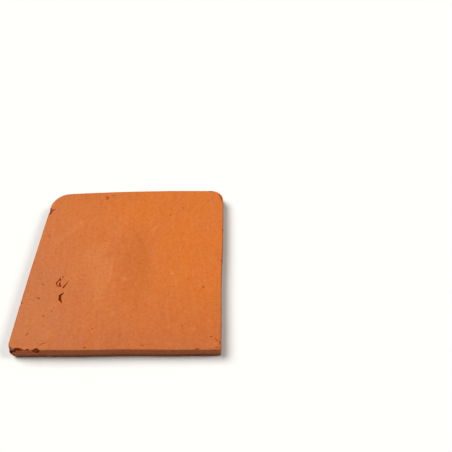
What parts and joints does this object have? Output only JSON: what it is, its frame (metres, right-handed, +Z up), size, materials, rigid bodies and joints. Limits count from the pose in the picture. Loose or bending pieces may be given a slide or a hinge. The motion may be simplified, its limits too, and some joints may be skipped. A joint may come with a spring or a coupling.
{
  "type": "terracotta floor tile",
  "caption": "Square hand-pressed terracotta floor tile with bowed sides, soft rounded edges, an uneven struck top and small chips, for laying as floor paving.",
  "frame": {"origin": "middle of the bed, the flat underside that the tile is laid on", "axes": "+Z up out of the walking face, +X along the near edge to the right, +Y away from the near edge"},
  "size_m": [0.2, 0.2, 0.0163],
  "materials": {
    "fired_clay": "matte, unglazed"
  },
  "bodies": {
    "root": {"terracotta_tile": "fired_clay"}
  },
  "joints": []
}
